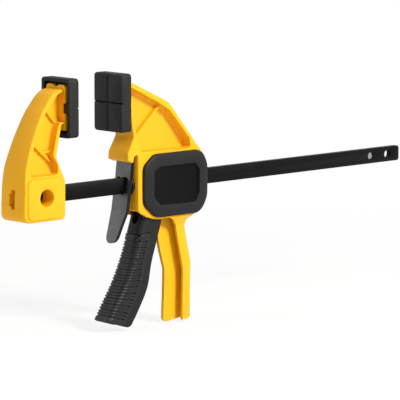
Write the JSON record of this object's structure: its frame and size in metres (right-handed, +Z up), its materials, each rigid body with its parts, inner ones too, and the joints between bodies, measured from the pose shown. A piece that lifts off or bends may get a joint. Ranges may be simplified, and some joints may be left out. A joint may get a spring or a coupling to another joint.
{
  "type": "quick release bar clamp",
  "caption": "One-handed bar clamp: yellow jaws with black rubber pads on a flat steel bar, ribbed trigger drive, release lever and fixed rear handle.",
  "frame": {"origin": "centre of the fixed pad's clamping face", "axes": "+X along the bar from the fixed jaw to the bar's tail, +Y across the clamp to its far side, +Z up from the bar to the pads"},
  "size_m": [0.4256, 0.0336, 0.2043],
  "materials": {
    "black_steel": "black oxide coated steel bar",
    "bright_steel": "plain zinc plated steel",
    "spring_steel": "drawn spring wire",
    "lever_steel": "tumbled grey steel plate",
    "yellow_nylon": "moulded glass-filled nylon",
    "black_nylon": "moulded glass-filled nylon",
    "pad_rubber": "moulded soft rubber",
    "grip_rubber": "ribbed soft overmould"
  },
  "bodies": {
    "bar_body": {"bar": "black_steel", "stop_pin": "bright_steel", "fixed_jaw": "yellow_nylon", "fixed_pad": "pad_rubber"},
    "moving_jaw": {"jaw_body": "yellow_nylon", "moving_pad": "pad_rubber", "near_cover": "black_nylon", "far_cover": "black_nylon", "trigger_pin": "bright_steel", "drive_spring": "spring_steel", "brake_spring": "spring_steel"},
    "trigger": {"trigger": "black_nylon", "trigger_grip": "grip_rubber"},
    "drive": {"drive_plate_front": "bright_steel", "drive_plate_rear": "bright_steel"},
    "release": {"release_lever": "lever_steel"}
  },
  "joints": [
    {"name": "jaw_slide", "type": "slide", "parent": "bar_body", "child": "moving_jaw", "axis": [1, 0, 0], "range_m": [-0.0433, 0.1998]},
    {"name": "trigger_squeeze", "type": "hinge", "parent": "moving_jaw", "child": "trigger", "pos_m": [0.0825, 0, -0.05295], "axis": [0, -1, 0], "range_deg": [0, 15], "stiffness_Nm_per_rad": 0.5, "springref_deg": -11.46, "deforming": ["drive_spring"]},
    {"name": "drive_stroke", "type": "slide", "parent": "moving_jaw", "child": "drive", "axis": [1, 0, 0], "range_m": [0, 0.0033]},
    {"name": "release_pull", "type": "hinge", "parent": "moving_jaw", "child": "release", "pos_m": [0.0625, 0, -0.04395], "axis": [0, -1, 0], "range_deg": [0, 7], "stiffness_Nm_per_rad": 0.4, "springref_deg": -8.59, "deforming": ["brake_spring"]}
  ],
  "couplings": [
    {"joint": "drive_stroke", "follows": "trigger_squeeze", "m_per_rad": 0.0125}
  ]
}
